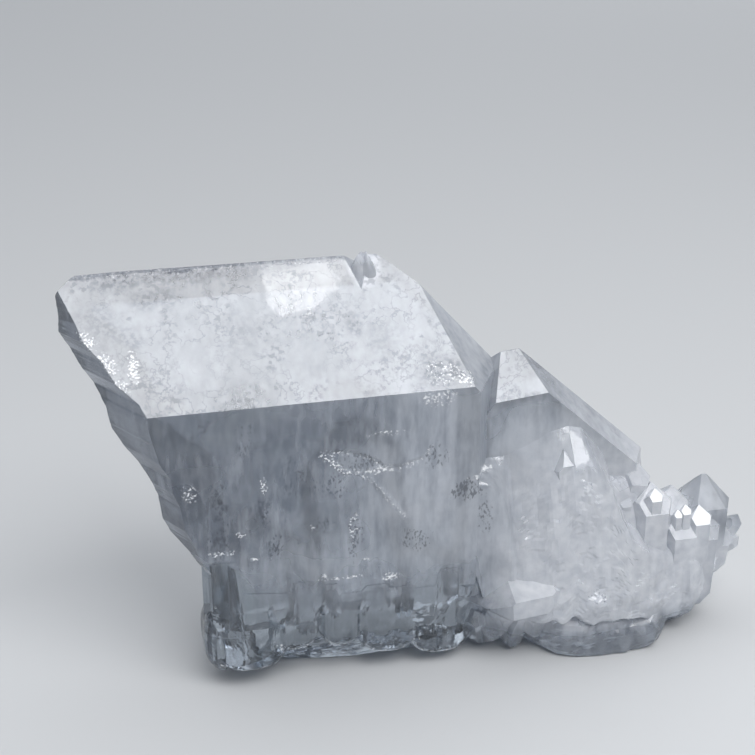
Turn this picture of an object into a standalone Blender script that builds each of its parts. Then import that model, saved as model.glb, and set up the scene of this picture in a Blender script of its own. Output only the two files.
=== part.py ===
"""Faden quartz cluster: tabular crystals grown through each other, joined in one solid.

Metres, +Z up and along the crystals' long axis, front towards -Y. The origin is under the middle of
the cluster, on the surface that it rests on.

Every crystal is a block that is cut by the faces of quartz: six upright prism faces, 60 degrees apart,
and sloping faces at its ends, one over and one under each prism face. The masses in front are curtains:
closed bodies whose front is given by how far it stands out at each place.
"""
from math import cos, pi, radians, sin

import bmesh
import bpy
import numpy as np
from mathutils import Matrix, Vector

MM = 0.001
DESIGN_CENTRE = (18.6, 10.1)      # the design's X and Y, mm, of the point that the part stands over
FACE_INCLINE = radians(51.8)      # angle between quartz's long axis and the normal of a sloping face
AZIMUTHS = (0, 60, 120, 180, 240, 300)  # degrees from the front, through the right, for each face in turn
BLANK = 260.0                     # side of the block that a crystal is cut from

# ---------------------------------------------------------------- driving dimensions, mm
# The main crystal's faces: distance of each prism face from its axis, and the height of the shoulder
# where that face turns into the sloping face over it, or into the one under it.
MAIN_SIDES = (0.0, 20.7, 30.5, 19.5, 50.0, 50.0)
MAIN_CAPS = (44.9, 44.0, 43.9, 53.1, 39.0, None)
MAIN_FEET = (13.2, 12.0, 12.0, 21.0, None, None)
# The notch in the main crystal's ridge: azimuth, distance and shoulder of the two sloping faces in it
NOTCH_FACES = ((60, 20.6, 34.8), (300, 8.0, 30.9))
NOTCH_MIDDLE = 12.0               # Y of a place on the notch's bottom line
NOTCH_REACH = 30.0                # how far the notch's block reaches along its bottom line and up its faces
# The main crystal's left flank steps inwards as it goes down: height, reach of the left front face,
# and reach of the left back face.
LEFT_FLANK = (
    (75.0, 22.3, 34.6),
    (53.6, 22.3, 34.6),
    (51.4, 21.2, 33.2),
    (48.8, 21.0, 31.2),
    (46.4, 19.6, 30.2),
    (43.6, 19.4, 27.9),
    (40.0, 18.8, 27.7),
    (38.0, 18.4, 25.8),
    (35.6, 17.3, 23.8),
    (33.4, 17.1, 21.4),
    (31.2, 16.3, 20.8),
    (27.4, 15.9, 20.5),
    (25.2, 14.9, 19.6),
    (23.4, 14.5, 16.4),
    (21.4, 13.6, 15.0),
    (18.0, 11.6, 12.6),
    (9.0, 6.6, 8.0),
)
FLANK_FAR = 60.0                  # how far the flank's block reaches on the sides where it cuts nothing
# The second crystal, right of the main one, leans to the left
SECOND_PLACE = (31.5, 4.2, 40.4)
SECOND_ROLL = 6.0
SECOND_SIDES = (0.0, 15.0, 19.7, 13.0, 9.0, 7.0)
SECOND_CAPS = (0.2, -14.35, -14.4, -4.7, 0.0, -4.4)
# The milky mass: X and Z along its top line and its rim, and how far it stands forward at each height
MILKY_TOP = ((23.2, 33.8), (27.0, 35.0), (31.0, 37.6), (36.0, 38.0), (39.0, 36.8), (41.0, 35.2), (43.0, 32.6),
             (44.9, 29.6), (46.0, 26.0), (48.0, 21.5), (51.0, 18.6), (58.0, 15.2), (64.4, 12.6))
MILKY_RIM = ((23.2, 13.6), (24.0, 13.0), (25.6, 7.5), (26.8, 5.2), (29.2, 5.9), (34.0, 5.4), (36.1, 5.4),
             (39.1, 5.8), (41.6, 4.3), (44.8, 4.7), (48.6, 4.2), (53.8, 2.1), (58.0, 1.4), (60.0, 3.0),
             (62.0, 5.6), (64.4, 9.4))
MILKY_PROFILE = ((0.0, 3.0), (8.0, 3.8), (12.0, 3.5), (18.0, 2.4), (24.0, 0.9), (30.0, -1.0), (34.0, -2.6),
                 (38.0, -3.9), (41.0, -4.7))
MILKY_BACK = 8.0                  # Y of its flat back
MILKY_LOBE = (41.6, 27.0, 4.4, 6.0, 1.1)  # X, Z, half width, half height and depth of the lobe on it
# Knobs over the rim: X, Z, half width, half height and depth
KNOBS = ((40.6, 9.3, 2.4, 1.9, 0.7), (45.8, 9.9, 3.4, 1.3, 0.6))
# The clear stubs under the main crystal: X of both sides, Z of the lowest point, and how far each stands
# forward
STUBS = ((-14.9, -4.0, 2.2, -0.6), (-6.6, 0.9, 4.6, -0.8), (0.6, 7.2, 4.2, -1.0), (6.4, 16.0, 2.2, -0.7),
         (14.0, 24.8, 1.0, -0.4), (23.4, 30.0, 2.6, -0.2))
STUB_RISE = 2.6                   # how much higher a stub ends at its sides than in its middle
STUB_TOP = ((-15.0, 21.7), (-11.2, 21.7), (-10.2, 15.6), (30.0, 15.6))
STUB_LEDGE = 0.16                 # how far their upper part stands out of the main crystal's front
STUB_BACK = 6.0                   # Y of their flat back


def face_normal(azimuth, incline):
    """Outward normal of a face that looks towards azimuth, tipped from straight up by incline."""
    turn = radians(azimuth)
    return Vector((sin(turn) * sin(incline), -cos(turn) * sin(incline), cos(incline)))


def keep_inside(mesh, point, normal):
    """Cut away what lies beyond a plane and close the cut."""
    everything = mesh.verts[:] + mesh.edges[:] + mesh.faces[:]
    result = bmesh.ops.bisect_plane(
        mesh, geom=everything, dist=1e-7, plane_co=point, plane_no=normal, clear_outer=True
    )
    rim = [item for item in result["geom_cut"] if isinstance(item, bmesh.types.BMEdge)]
    if rim:
        bmesh.ops.edgeloop_fill(mesh, edges=rim)


def place_in_part(place):
    """The part's own coordinates, in metres, of a place in the design's, in mm."""
    return Vector((place[0] - DESIGN_CENTRE[0], place[1] - DESIGN_CENTRE[1], place[2])) * MM


def add_object(name, mesh, place, collection, roll=0.0, pitch=0.0, turn=0.0):
    """Turn a bmesh into an object with flat faces that point out.

    roll leans it to the left, pitch leans it back and turn turns it round its own axis, in degrees.
    """
    lean = (
        Matrix.Rotation(radians(-roll), 4, "Y")
        @ Matrix.Rotation(radians(-pitch), 4, "X")
        @ Matrix.Rotation(radians(turn), 4, "Z")
    )
    mesh.transform(Matrix.Translation(place_in_part(place)) @ lean)
    bmesh.ops.recalc_face_normals(mesh, faces=mesh.faces)
    data = bpy.data.meshes.new(name)
    mesh.to_mesh(data)
    mesh.free()
    item = bpy.data.objects.new(name, data)
    collection.objects.link(item)
    return item


def crystal(name, place, sides, caps, feet, collection, roll=0.0, pitch=0.0, turn=0.0):
    """Cut one crystal.

    place is a point on its long axis. sides are the distances of its prism faces from that axis, caps the
    heights over place at which each prism face turns into the sloping face over it, and feet the heights at
    which it turns into the one under it, in the order of AZIMUTHS. None is for a face that isn't there.
    """
    mesh = bmesh.new()
    bmesh.ops.create_cube(mesh, size=BLANK * MM)
    for azimuth, side, cap, foot in zip(AZIMUTHS, sides, caps, feet):
        outward = face_normal(azimuth, radians(90))
        keep_inside(mesh, outward * side * MM, outward)
        if cap is not None:
            shoulder = (outward * side + Vector((0, 0, cap))) * MM
            keep_inside(mesh, shoulder, face_normal(azimuth, FACE_INCLINE))
        if foot is not None:
            shoulder = (outward * side + Vector((0, 0, foot))) * MM
            keep_inside(mesh, shoulder, face_normal(azimuth, pi - FACE_INCLINE))
    return add_object(name, mesh, place, collection, roll, pitch, turn)


def point(name, place, radius, height, collection, foot=None, roll=0.0, pitch=0.0, turn=0.0):
    """Cut a plain crystal with one radius.

    height is from place to the shoulder, and foot, where there is one, from place to the lower shoulder.
    """
    caps = (height, height - 0.5 * radius) * 3
    feet = (None,) * 6 if foot is None else (foot, foot + 0.5 * radius) * 3
    crystal(name, place, (radius,) * 6, caps, feet, collection, roll, pitch, turn)


def skin(sections):
    """Close a stack of sections, each a list of as many corners, with flat triangles."""
    mesh = bmesh.new()
    rings = [[mesh.verts.new(corner) for corner in section] for section in sections]
    count = len(rings[0])
    for lower, upper in zip(rings, rings[1:]):
        for index in range(count):
            after = (index + 1) % count
            mesh.faces.new((lower[index], lower[after], upper[after], upper[index]))
    mesh.faces.new(rings[0][::-1])
    mesh.faces.new(rings[-1])
    bmesh.ops.triangulate(mesh, faces=mesh.faces)
    return mesh


def crossing(azimuth_a, reach_a, azimuth_b, reach_b):
    """X and Y of the upright edge between two prism faces."""
    a = face_normal(azimuth_a, radians(90))
    b = face_normal(azimuth_b, radians(90))
    scale = a.x * b.y - a.y * b.x
    return Vector(((reach_a * b.y - reach_b * a.y) / scale, (reach_b * a.x - reach_a * b.x) / scale))


def stepped_flank(collection):
    """A block whose two left faces step inwards as they go down, to trim the main crystal with."""
    sections = []
    for height, left_front, left_back in reversed(LEFT_FLANK):
        reaches = (FLANK_FAR, FLANK_FAR, FLANK_FAR, FLANK_FAR, left_back, left_front)
        section = []
        for index in range(6):
            after = (index + 1) % 6
            edge = crossing(AZIMUTHS[index], reaches[index], AZIMUTHS[after], reaches[after])
            section.append(Vector((edge.x, edge.y, height)) * MM)
        sections.append(section)
    return add_object("left_flank", skin(sections), (0, 0, 0), collection)


def lump(name, place, radii, drop, collection, seed, squareness=2.6, swell=0.06, rings=14, columns=28):
    """A closed rounded mass: a squared ellipsoid whose radius swells in a few smooth waves.

    radii are its half width, half depth and height over place, and drop is its depth under place.
    """
    waves = np.random.default_rng(seed).uniform(0, 2 * pi, 4)
    sections = []
    for ring in range(1, rings):
        down = pi * ring / rings
        upright = drop if down < pi / 2 else radii[2]
        section = []
        for column in range(columns):
            bearing = 2 * pi * column / columns
            way = Vector((sin(down) * cos(bearing), sin(down) * sin(bearing), -cos(down)))
            size = sum(abs(part) ** squareness for part in way) ** (-1 / squareness)
            size *= 1 + swell * sin(3 * bearing + waves[0]) * sin(down + waves[1])
            size *= 1 + swell / 2 * sin(5 * bearing + waves[2]) * sin(4 * down + waves[3])
            section.append(Vector((way.x * radii[0], way.y * radii[1], way.z * upright)) * size * MM)
        sections.append(section)
    return add_object(name, skin(sections), place, collection)


def eased(value, start, end):
    """0 before start, 1 after end, and a smooth rise between."""
    share = np.clip((value - start) / (end - start), 0, 1)
    return share * share * (3 - 2 * share)


def lesser(first, second, round_over):
    """The lesser of two numbers, rounded over where they cross."""
    return 0.5 * (first + second - np.hypot(first - second, round_over))


def line_through(places, across):
    """Height at X of a line through the given places."""
    return np.interp(across, *zip(*places))


def curtain(name, across, top, foot, forward, back, rows, collection):
    """A closed body with a flat back, whose front curves over its width and height.

    across holds the X of its upright columns, each of which runs from foot to top in equal steps. forward
    gives how far the front stands out towards -Y at an X and at all the heights of its column.
    """
    sections = []
    for x in across:
        heights = np.linspace(foot(x), top(x), rows)
        section = [Vector((x, -out, z)) for z, out in zip(heights, forward(x, heights))]
        section += [Vector((x, back, heights[-1])), Vector((x, back, heights[0]))]
        sections.append([corner * MM for corner in section])
    return add_object(name, skin(sections), (0, 0, 0), collection)


def milky_forward(x, heights):
    """How far the milky mass stands forward.

    It follows its profile, but is drawn back at its left, at its ribbed right end, under its top line and
    over its rim. A lobe and some knobs stand on it.
    """
    out = line_through(MILKY_PROFILE, heights) * eased(x, 23.5, 35.0) + 0.15
    out = out - 1.0 + eased(x, 23.2, 25.5) - 3.4 * eased(x, 46.0, 58.0) - 2.6 * eased(x, 58.5, 65.0)
    slope = 0.35 + 0.65 * eased(x, 32.0, 43.0) + eased(x, 44.0, 48.0)
    out = lesser(out, (line_through(MILKY_TOP, x) - heights) * slope - 4.4, 1.0)
    middle, height, wide, high, deep = MILKY_LOBE
    out += deep * (1 - eased(np.hypot((x - middle) / wide, (heights - height) / high), 0.2, 1.3))
    foot = line_through(MILKY_RIM, x)
    out -= 2.4 * (1 - eased(heights, foot, foot + 1.7))
    for middle, height, wide, high, deep in KNOBS:
        out += deep * np.exp(-((x - middle) / wide) ** 2 - ((heights - height) / high) ** 2)
    return np.maximum(out, -5.2)


def stub_foot(x):
    """Lower edge of the stubs, each of which hangs down in the middle."""
    feet = [15.0]
    for left, right, lowest, front in STUBS:
        feet.append(lowest + STUB_RISE * (abs(2 * x - left - right) / (right - left)) ** 3)
    return min(feet)


def stub_forward(x, heights):
    """How far the stubs stand forward.

    Each front is drawn back at its sides and round its lower end, and where two stubs overlap the one that
    stands further forward shows.
    """
    foremost = np.full(len(heights), -4.5)
    low = 1 - eased(heights, 9.5, 13.4)
    for left, right, lowest, front in STUBS:
        aside = abs(2 * x - left - right) / (right - left)
        rim = lowest + STUB_RISE * aside ** 3
        drawn_back = front - 1.6 * min(aside, 1) ** 6 - 12 * max(aside - 0.96, 0)
        face = STUB_LEDGE - 0.76 * eased(x, 21.0, 23.0) + low * drawn_back
        face -= 1.8 * np.clip((rim + 1.4 - heights) / 1.4, 0, 1) ** 2
        if aside < 1.25:
            foremost = np.maximum(foremost, face)
    return foremost


def join(body, operation, operand):
    """Add a live Boolean with one object to body. The curved fronts need the Manifold solver."""
    boolean = body.modifiers.new(operand.name, "BOOLEAN")
    boolean.operation = operation
    boolean.solver = "MANIFOLD"
    boolean.object = operand


def guide_collection(name):
    """A collection for shapes that only add to or cut the cluster."""
    collection = bpy.data.collections.new(name)
    bpy.context.scene.collection.children.link(collection)
    return collection


def notch(collection):
    """A three-sided block: the notch's bottom line is its lower edge, and its sloping faces are its sides."""
    normals = [face_normal(azimuth, FACE_INCLINE) for azimuth, side, shoulder in NOTCH_FACES]
    offsets = [
        normal.dot(face_normal(azimuth, radians(90)) * side + Vector((0, 0, shoulder)))
        for normal, (azimuth, side, shoulder) in zip(normals, NOTCH_FACES)
    ]
    bottom = Vector(np.linalg.solve((*normals, (0, 1, 0)), (*offsets, NOTCH_MIDDLE)))
    line = normals[0].cross(normals[1]).normalized()
    left = line.cross(normals[0])
    right = normals[1].cross(line)
    section = (bottom, bottom + left * NOTCH_REACH, bottom + right * NOTCH_REACH)
    ends = [[(corner + line * shift) * MM for corner in section] for shift in (-NOTCH_REACH, NOTCH_REACH)]
    return add_object("notch", skin(ends), (0, 0, 0), collection)


def main_crystal():
    """The tabular main crystal, trimmed by its stepped flank and cut by the notch in its ridge."""
    trims = guide_collection("trims")
    shown = bpy.context.scene.collection
    body = crystal("quartz_cluster", (0, 0, 0), MAIN_SIDES, MAIN_CAPS, MAIN_FEET, shown)
    join(body, "INTERSECT", stepped_flank(trims))
    join(body, "DIFFERENCE", notch(trims))
    return body


def right_crystals(collection):
    """The second crystal, the tip in the notch, and the milky mass with its plate and its foot."""
    crystal("second", SECOND_PLACE, SECOND_SIDES, SECOND_CAPS, (None, -31, -31, -33, None, None), collection,
            roll=SECOND_ROLL)
    point("notch_tip", (10.2, 12.6, 52.5), 1.7, 5.6, collection, foot=-6.0, roll=4.0, pitch=-3.0, turn=20.0)
    lump("milky_mass", (39.5, 7.6, 12.0), (16.5, 7.4, 17.0), 9.0, collection, seed=4, squareness=2.4)
    crystal("milky_plate", (31.4, 1.4, 10.9), (6.0, 4.0, 4.2, 5.0, 4.5, 4.5), (3.0, 2.6, 3.0, 3.0, 3.0, 3.2),
            (-3.2, -3.8, -3.0, -3.0, -3.0, -2.4), collection, roll=95.0)
    crystal("lobe_facet", (38.4, 3.2, 27.2), (2.5, 2.6, 3.0, 3.0, 3.0, 2.7), (3.3, 2.2, 3.0, 3.0, 3.0, 2.6),
            (-3.0,) * 6, collection, roll=5.0)
    lump("milky_foot", (44.6, 5.6, 2.4), (11.6, 9.5, 5.4), 6.0, collection, seed=9, swell=0.10, rings=10)


def right_end(collection):
    """The ribbed end of the cluster: small crystals side by side, whose feet rise to the right."""
    point("end_first", (52.4, 3.2, 14.0), 3.2, 8.6, collection, foot=-12.5)
    point("end_second", (56.0, 4.6, 14.0), 2.9, 7.2, collection, foot=-11.5, roll=-3.0)
    point("end_third", (57.4, 2.9, 12.0), 3.0, 5.8, collection, foot=-9.5)
    point("end_fourth", (60.9, 4.1, 10.5), 3.5, 6.4, collection, foot=-6.5, roll=-2.0)
    crystal("end_clear", (62.8, 6.2, 14.0), (3.6, 4.0, 4.1, 3.8, 4.0, 4.2),
            (5.2, 4.9, 5.0, 5.0, 5.6, 5.0), (-5.0, -1.0, -1.0, -5.0, -5.0, -5.0), collection)
    point("end_right", (64.6, 5.6, 11.0), 2.8, 3.0, collection, foot=-3.0, roll=-8.0)
    point("end_spike", (67.4, 6.6, 12.0), 1.3, 3.2, collection, foot=-3.0, roll=-30.0)
    point("end_low", (60.8, 5.4, 6.4), 3.9, 5.0, collection, foot=-2.6, roll=-10.0)
    point("end_under", (56.6, 5.8, 4.0), 4.2, 5.0, collection, foot=-3.0, roll=-8.0)


def druse(name, seed, count, start, end, radii, rolls, pitches, collection):
    """A row of little crystals between two places, with sizes and leans drawn between the given limits."""
    draw = np.random.default_rng(seed)
    for number in range(count):
        along = (number + 0.5 + draw.uniform(-0.3, 0.3)) / count
        place = Vector(start).lerp(Vector(end), along) + Vector(draw.uniform(-0.5, 0.5, 3))
        radius = draw.uniform(*radii)
        point(f"{name}_{number}", place, radius, radius * draw.uniform(1.4, 2.4), collection,
              foot=-2.0 * radius, roll=draw.uniform(*rolls), pitch=draw.uniform(*pitches),
              turn=draw.uniform(-12, 12))


def stub_row(collection):
    """The clear stubs under the main crystal, the heel at their left end and the rough mass behind them."""
    crystal("stub_far_left", (-9.5, 7.0, 10.0), (6.2, 3.0, 7.0, 6.5, 4.8, 6.3),
            (12.0, 3.0, 8.0, 9.0, 9.0, 11.0), (-2.0, -4.0, -6.5, -6.0, -5.0, -5.0), collection, turn=4.0)
    lump("stub_heel", (-13.0, 5.4, 7.0), (3.3, 4.6, 5.6), 5.0, collection, seed=12, rings=10, columns=18)
    point("stub_small", (27.6, 3.8, 6.0), 3.6, 6.0, collection, foot=-3.4, roll=-12.0)
    point("stub_last", (33.2, 1.8, 6.0), 2.8, 6.0, collection, foot=-3.0, roll=4.0)
    lump("root", (14.0, 11.0, 6.0), (24.5, 7.4, 8.6), 8.0, collection, seed=2, rings=10)


def back_crystals(collection):
    """The smaller crystals that grow along the back."""
    crystal("back_tall", (9.0, 18.0, 20.0), (6.0, 7.5, 7.0, 6.0, 8.0, 7.0),
            (8.0, 9.0, 12.0, 10.5, 9.0, 12.0), (-9.0, -9.0, -9.0, -6.0, -8.0, -7.0), collection,
            roll=3.0, pitch=4.0)
    crystal("back_left", (-6.0, 15.5, 12.0), (6.0, 6.0, 6.0, 6.0, 6.4, 6.0),
            (8.0, 9.0, 6.0, 7.0, 9.0, 6.0), (-7.0, -8.0, -8.0, -5.0, -6.0, -5.0), collection,
            roll=5.0, pitch=8.0)
    crystal("back_right", (31.0, 15.5, 14.0), (6.0, 7.5, 7.0, 6.5, 7.0, 7.0),
            (8.0, 6.0, 7.0, 9.0, 6.0, 12.0), (-9.0, -9.0, -9.0, -7.0, -8.0, -7.0), collection,
            roll=-4.0, pitch=5.0)
    point("back_low", (20.0, 18.5, 7.0), 4.6, 6.0, collection, foot=-4.0, roll=4.0, pitch=12.0)
    point("back_small", (1.5, 19.5, 6.0), 3.4, 5.0, collection, foot=-3.4, roll=6.0, pitch=14.0)
    point("back_end", (47.0, 13.5, 9.0), 4.6, 8.0, collection, foot=-5.0, roll=-8.0, pitch=9.0)


def small_crystals(collection):
    """The rows of little crystals round the foot of the cluster and up its right end."""
    druse("flank", 21, 8, (67.0, 6.0, 11.5), (58.0, 4.0, 3.5), (0.8, 1.4), (-75, -35), (-15, 20), collection)
    druse("ribs", 25, 9, (49.0, 1.6, 7.5), (61.0, 3.6, 8.5), (1.0, 1.7), (-8, 8), (-6, 8), collection)
    druse("back_row", 22, 13, (-9.0, 14.5, 5.0), (44.0, 16.0, 5.0), (1.5, 2.6), (-15, 20), (5, 35),
          collection)
    druse("back_high", 23, 6, (38.0, 15.5, 13.0), (56.0, 10.5, 12.0), (1.5, 2.4), (-25, 5), (5, 30),
          collection)
    druse("front_row", 24, 6, (24.0, 2.5, 4.5), (42.0, -1.0, 5.0), (1.2, 2.0), (-15, 20), (-30, -10),
          collection)


def curved_fronts(collection):
    """The fronts of the milky mass and of the clear stubs, which end above the resting surface."""
    curtain("milky_front", np.linspace(23.2, 64.4, 32), lambda x: line_through(MILKY_TOP, x),
            lambda x: line_through(MILKY_RIM, x), milky_forward, MILKY_BACK, 22, collection)
    curtain("stub_front", np.linspace(-15.0, 30.0, 46), lambda x: line_through(STUB_TOP, x), stub_foot,
            stub_forward, STUB_BACK, 10, collection)


def quartz_material():
    """Clear, faintly blue-grey quartz."""
    material = bpy.data.materials.new("clear_quartz")
    material.use_nodes = True
    surface = material.node_tree.nodes["Principled BSDF"]
    surface.inputs["Base Color"].default_value = (0.80, 0.83, 0.88, 1.0)
    surface.inputs["Roughness"].default_value = 0.12
    surface.inputs["Metallic"].default_value = 0.0
    surface.inputs["IOR"].default_value = 1.544
    surface.inputs["Transmission Weight"].default_value = 0.9
    return material


def floor_cutter():
    """A block under the surface that the part rests on, to cut the cluster's foot flat."""
    mesh = bmesh.new()
    bmesh.ops.create_cube(mesh, size=BLANK * MM)
    return add_object("floor_cut", mesh, (*DESIGN_CENTRE, -BLANK / 2), guide_collection("cuts"))


def quartz_cluster():
    """Grow the whole cluster and hide the shapes that it was joined from."""
    grown = guide_collection("grown")
    cluster = main_crystal()
    right_crystals(grown)
    right_end(grown)
    stub_row(grown)
    back_crystals(grown)
    small_crystals(grown)
    for piece in grown.objects:
        join(cluster, "UNION", piece)
    join(cluster, "DIFFERENCE", floor_cutter())
    fronts = guide_collection("fronts")
    curved_fronts(fronts)
    for piece in fronts.objects:
        join(cluster, "UNION", piece)
    cluster.data.materials.append(quartz_material())
    for guide in bpy.data.objects:
        if guide is not cluster:
            guide.hide_render = True
            guide.display_type = "WIRE"


for item in list(bpy.data.objects):
    bpy.data.objects.remove(item)
quartz_cluster()
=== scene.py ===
"""The faden quartz cluster's looks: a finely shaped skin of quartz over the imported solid, on a pale floor.

The design is in millimetres: X to the right along the main crystal's front face, Y back, Z up along the long
axis of the crystals. The part stands over DESIGN_CENTRE. A row of six numbers goes round a crystal's sides,
from the front one by the right; None stands for a sloping face that a crystal doesn't have.
"""
from collections import namedtuple
from itertools import product

import bmesh
import bpy
import numpy as np
from mathutils import Matrix, Vector


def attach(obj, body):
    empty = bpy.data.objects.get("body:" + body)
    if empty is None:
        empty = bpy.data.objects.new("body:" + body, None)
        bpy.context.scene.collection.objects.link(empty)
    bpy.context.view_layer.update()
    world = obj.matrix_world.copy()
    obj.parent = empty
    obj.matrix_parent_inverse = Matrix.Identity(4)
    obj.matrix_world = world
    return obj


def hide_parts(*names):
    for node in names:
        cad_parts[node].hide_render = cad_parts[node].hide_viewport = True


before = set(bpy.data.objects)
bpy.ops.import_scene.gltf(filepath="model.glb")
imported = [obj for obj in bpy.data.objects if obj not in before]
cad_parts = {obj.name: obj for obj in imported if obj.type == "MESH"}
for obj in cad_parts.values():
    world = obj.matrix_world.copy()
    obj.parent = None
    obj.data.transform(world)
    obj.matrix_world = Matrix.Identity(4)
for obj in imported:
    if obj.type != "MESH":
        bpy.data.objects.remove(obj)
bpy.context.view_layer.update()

Stub = namedtuple("Stub", "left right foot forward")
Spot = namedtuple("Spot", "x z wide high strength")

MM = 0.001
DOUBLES = 2e-6  # metres between points that are merged
SLIVERS = 1e-7  # metres of edges that are dissolved
DESIGN_CENTRE = np.array((18.6, 10.1, 0.0))
INCLINE = np.radians(51.8)  # between the long axis and the normal of a sloping face
DRAW_IN = 1 / np.tan(INCLINE)  # how far a sloping face draws in per millimetre of height
TURNS = np.radians((0, 60, 120, 180, 240, 300))
OUTWARD = np.stack((np.sin(TURNS), -np.cos(TURNS)), axis=1)
ALONG = np.stack((np.cos(TURNS), np.sin(TURNS)), axis=1)
UPRIGHT = 0.2  # an upright side draws in by less than this per millimetre of height
NOISE_TABLE = 8192  # random numbers in each noise
HASH = (73856093, 19349663, 83492791)

# --- the big faces, mm
# The main crystal's sides from its axis, and the heights of its upper and lower shoulders
MAIN_SIDES = (0.0, 20.7, 30.5, 19.5, 50.0, 50.0)
MAIN_CAPS = (44.9, 44.0, 43.9, 53.1, 39.0, None)
MAIN_FEET = (13.2, 12.0, 12.0, 21.0, None, None)
# A V notch in the ridge: the turn, side and shoulder of the two sloping faces that meet in it
NOTCH = ((1, 20.6, 34.8), (5, 8.0, 30.9))
NOTCH_MIDDLE = 12.0  # Y of the middle of its bottom line
NOTCH_REACH = 30.0  # how far its cutter goes past it every way
# The left flank's steps: height, and the reach of the left front side and of the left back one
LEFT_FLANK = np.array((
    (9.0, 6.6, 8.0), (18.0, 11.6, 12.6), (21.4, 13.6, 15.0), (23.4, 14.5, 16.4), (25.2, 14.9, 19.6),
    (27.4, 15.9, 20.5), (31.2, 16.3, 20.8), (33.4, 17.1, 21.4), (35.6, 17.3, 23.8), (38.0, 18.4, 25.8),
    (40.0, 18.8, 27.7), (43.6, 19.4, 27.9), (46.4, 19.6, 30.2), (48.8, 21.0, 31.2), (51.4, 21.2, 33.2),
    (53.6, 22.3, 34.6), (75.0, 22.3, 34.6),
))
FLANK_STEP = 0.25  # how deep its finer steps are
# The healed crack's two edges on the front face, as X and Z, with their relief and its width
CRACK_UPPER = (
    (1.0, 36.9), (3.9, 36.9), (5.9, 36.3), (8.8, 34.8), (9.9, 33.9), (12.3, 33.6), (15.5, 34.5),
    (16.9, 36.2),
)
CRACK_LOWER = ((1.0, 36.9), (4.3, 33.9), (6.5, 33.5), (7.9, 32.5), (10.2, 29.6), (13.1, 25.7))
LIP_HEIGHT = 0.26
LIP_WIDTH = 0.3
GROOVE_DEPTH = 0.24
GROOVE_WIDTH = 0.35
# The relief of the faces: hairline steps, hillocks, slow waves and the bites out of the top ridge
HAIRLINE = 0.01
FAINT_STEP = 0.02
HILLOCK = 0.010
SLOW_WAVE = 0.04
SMALL_BITE = 0.12
LARGE_BITE = 0.2
RIDGE_BAND = 0.5  # how far down from the top the bites reach

# --- the milky mass and the stubs, mm
# The milky mass's top line and scalloped rim, as X and Z, and its profile, as Z and how far forward it stands
MILKY_TOP = (
    (23.2, 31.5), (28.0, 31.8), (32.0, 33.4), (36.0, 35.2), (39.0, 35.8), (41.0, 35.2), (43.0, 32.6),
    (44.9, 29.6), (46.0, 26.0), (48.0, 21.5), (51.0, 18.6), (58.0, 15.2), (64.4, 12.6),
)
MILKY_RIM = (
    (23.2, 14.6), (24.0, 14.0), (25.6, 8.5), (26.8, 6.2), (29.2, 6.9), (34.0, 6.4), (36.1, 6.4),
    (39.1, 6.8), (41.6, 5.3), (44.8, 5.7), (48.6, 5.2), (53.8, 3.1), (58.0, 2.4), (60.0, 4.0), (62.0, 6.6),
    (64.4, 10.4),
)
MILKY_PROFILE = (
    (0.0, 3.0), (8.0, 3.8), (12.0, 3.5), (18.0, 2.4), (24.0, 0.9), (30.0, -1.0), (34.0, -2.6), (38.0, -3.9),
    (41.0, -4.7), (44.0, -5.2),
)
MILKY_LOBE = (41.6, 27.0)  # X and Z of the rounded lobe at its upper right
LOBE_HEIGHT = 1.1
RIB = 0.34
FINE_RIB = 0.15
TERRACE = 0.34
RIM_LIP = 0.35
TOP_DEPTH = 4.4  # how far behind Y 0 its front lies along its top line
DEEPEST_MILKY = -5.2  # the furthest back that its front goes
# Knobs on the milky mass over its rim; their strength is how far they stand out
KNOBS = (
    Spot(40.6, 9.3, 2.4, 1.9, 0.7), Spot(45.8, 9.9, 3.4, 1.3, 0.6), Spot(36.6, 10.6, 1.8, 1.2, 0.5),
    Spot(52.0, 7.4, 3.0, 1.1, 0.5),
)
# The clear stubs' fronts: left and right ends, lowest point, and how far forward each stands
STUBS = (
    Stub(-14.9, -4.0, 2.2, -0.6), Stub(-6.6, 0.9, 4.6, -0.8), Stub(0.6, 7.2, 4.2, -1.0),
    Stub(6.4, 16.0, 2.2, -0.7), Stub(14.0, 24.8, 1.0, -0.4), Stub(23.4, 30.0, 2.6, -0.2),
)
STUB_SWEEP = 2.6  # how much higher a stub's lower edge is at its sides
DEEPEST_STUB = -4.5
# The stubs' ledges on the front face: X and height of their ends, in steps
STUB_TOP = (
    (-15.0, 21.7), (-11.2, 21.7), (-10.6, 16.4), (-4.2, 15.6), (-3.4, 15.6), (-3.0, 17.1), (-0.6, 17.1),
    (-0.2, 14.6), (0.8, 14.6), (1.2, 16.2), (3.2, 16.2), (3.6, 14.4), (6.8, 14.4), (7.2, 15.2),
    (10.3, 15.2), (10.7, 14.4), (13.7, 14.4), (14.1, 13.8), (17.9, 13.8), (18.3, 16.4), (21.6, 16.4),
    (22.0, 14.6), (25.0, 16.0), (30.0, 16.0),
)

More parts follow.
